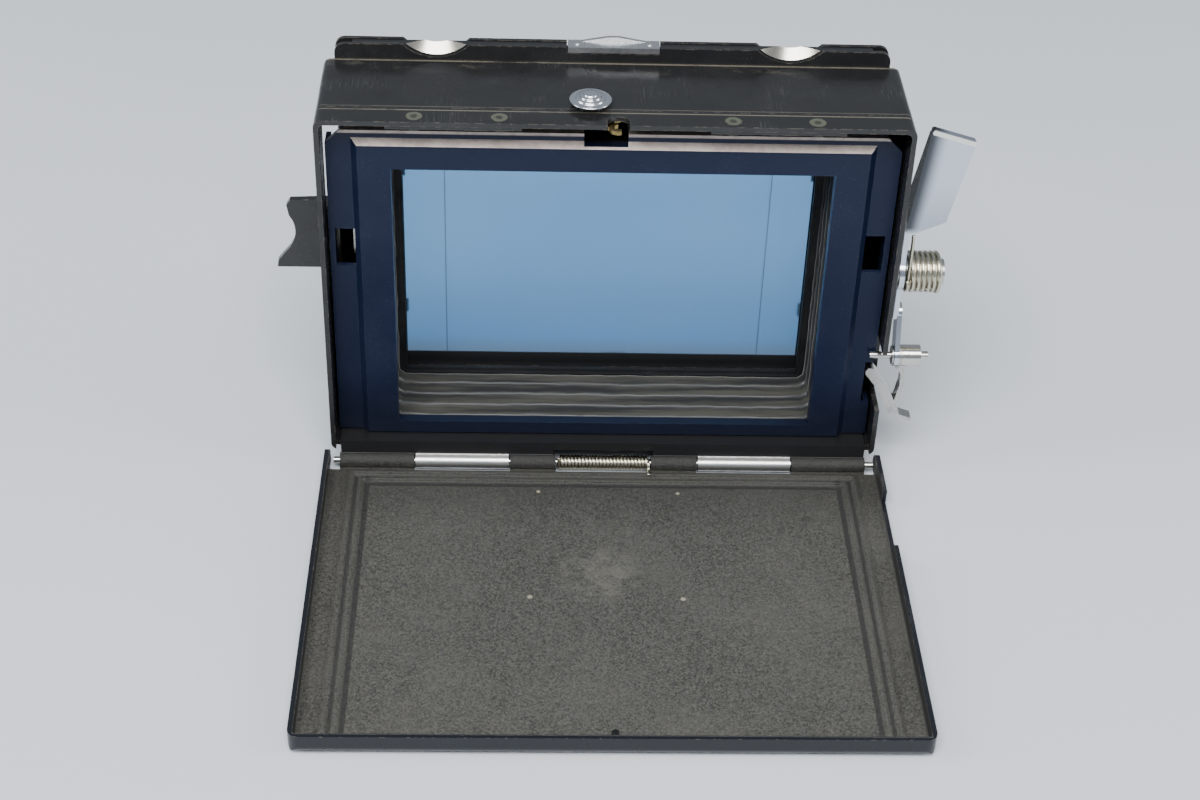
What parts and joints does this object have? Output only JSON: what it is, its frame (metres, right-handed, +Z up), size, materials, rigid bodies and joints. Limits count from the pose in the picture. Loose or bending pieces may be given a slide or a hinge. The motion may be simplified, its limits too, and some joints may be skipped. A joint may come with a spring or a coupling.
{
  "type": "sheet film back",
  "caption": "Black metal sheet-film back with a folding rear door, bellows film frame, sliding ground-glass frame, side lever and push-button latch.",
  "frame": {"origin": "centre line of the film, at the front mounting face and on the plane it stands on", "axes": "+X along the film's long side (right, seen from the door), +Y out of the front face away from the door, +Z up"},
  "size_m": [0.1381, 0.1111, 0.0884],
  "materials": {
    "shell_lacquer": "gloss black lacquer, scuffed, worn at the edges",
    "rim_lacquer": "gloss black lacquer, worn to bare metal on its edges",
    "weld_metal": "dull spot-weld marks",
    "inner_black": "matt black",
    "nickel_clip": "nickel plate",
    "channel_lacquer": "gloss black lacquer",
    "dark_screw": "blackened",
    "bellows_cloth": "black pleated cloth",
    "hinge_nickel": "worn nickel plate",
    "dark_rivet": "dull",
    "pin_steel": "bright",
    "bush_black": "gloss black",
    "spring_brass": "dull",
    "post_steel": "turned",
    "spring_steel": "bright wire",
    "frame_black": "satin blue-black",
    "door_lacquer": "gloss black outside, dark crinkle inside",
    "button_chrome": "polished",
    "hook_brass": "tarnished",
    "lever_chrome": "polished, lightly scratched",
    "stud_nickel": "nickel plate",
    "glass_frame_metal": "polished",
    "ground_glass": "finely ground, with scribed lines",
    "catch_chrome": "polished",
    "tab_black": "gloss black"
  },
  "bodies": {
    "shell": {"outer_shell": "shell_lacquer", "rear_rim": "rim_lacquer", "weld_rivets": "weld_metal", "front_plate": "inner_black", "guide_clips": "nickel_clip", "front_channel": "channel_lacquer", "channel_cover": "channel_lacquer", "channel_screws": "dark_screw", "bellows": "bellows_cloth", "bellows_front_ring": "inner_black", "hinge_leaves": "hinge_nickel", "leaf_rivets": "dark_rivet", "hinge_pin": "pin_steel", "button_bush": "bush_black", "latch_pivot": "dark_rivet", "button_spring": "spring_brass", "spring_post_rivet": "dark_rivet", "lever_post": "post_steel", "lever_spring": "spring_steel", "spring_bush": "post_steel", "slide_guides": "dark_rivet"},
    "film_lift_frame": {"film_frame": "frame_black", "bellows_rear_ring": "inner_black"},
    "door": {"door_panel": "door_lacquer", "door_striker": "dark_rivet", "hinge_spring": "spring_steel"},
    "button": {"button_cap": "button_chrome", "button_stem": "post_steel"},
    "latch": {"latch_hook": "hook_brass"},
    "lever": {"side_lever": "lever_chrome", "drive_stud": "stud_nickel", "stud_washer": "stud_nickel", "draw_hook": "stud_nickel"},
    "glass_back": {"glass_frame": "glass_frame_metal", "ground_glass": "ground_glass", "glass_clips": "dark_screw", "catch_plate": "catch_chrome", "catch_rivets": "catch_chrome"},
    "side_slide": {"slide_tab": "tab_black", "slide_bar": "inner_black"}
  },
  "joints": [
    {"name": "door_hinge", "type": "hinge", "parent": "shell", "child": "door", "pos_m": [0, -0.0278, 0.00195], "axis": [-1, 0, 0], "range_deg": [0, 90], "stiffness_Nm_per_rad": 0.015, "springref_deg": -14.32},
    {"name": "lever_pivot", "type": "hinge", "parent": "shell", "child": "lever", "pos_m": [0.0625, -0.0209, 0.0472], "axis": [-1, 0, 0], "range_deg": [0, 7.4], "deforming": ["lever_spring"]},
    {"name": "film_lift", "type": "slide", "parent": "shell", "child": "film_lift_frame", "axis": [0, -1, 0], "range_m": [0, 0.0023], "stiffness_N_per_m": 584, "springref_m": -0.0037, "deforming": ["bellows"]},
    {"name": "button_press", "type": "slide", "parent": "shell", "child": "button", "axis": [0, 0, -1], "range_m": [0, 0.0008], "stiffness_N_per_m": 1200, "springref_m": -0.0005, "deforming": ["button_spring"]},
    {"name": "latch_turn", "type": "hinge", "parent": "shell", "child": "latch", "pos_m": [-0.0006, -0.0149, 0.0824], "axis": [0, 0, -1], "range_deg": [0, 7.7]},
    {"name": "glass_slide", "type": "slide", "parent": "shell", "child": "glass_back", "axis": [0, 0, 1], "range_m": [0, 0.076]},
    {"name": "side_slide_up", "type": "slide", "parent": "shell", "child": "side_slide", "axis": [0, 0, 1], "range_m": [0, 0.01]}
  ],
  "couplings": [
    {"joint": "lever_pivot", "follows": "film_lift", "rad_per_m": 54.054},
    {"joint": "latch_turn", "follows": "button_press", "rad_per_m": 166.4}
  ]
}
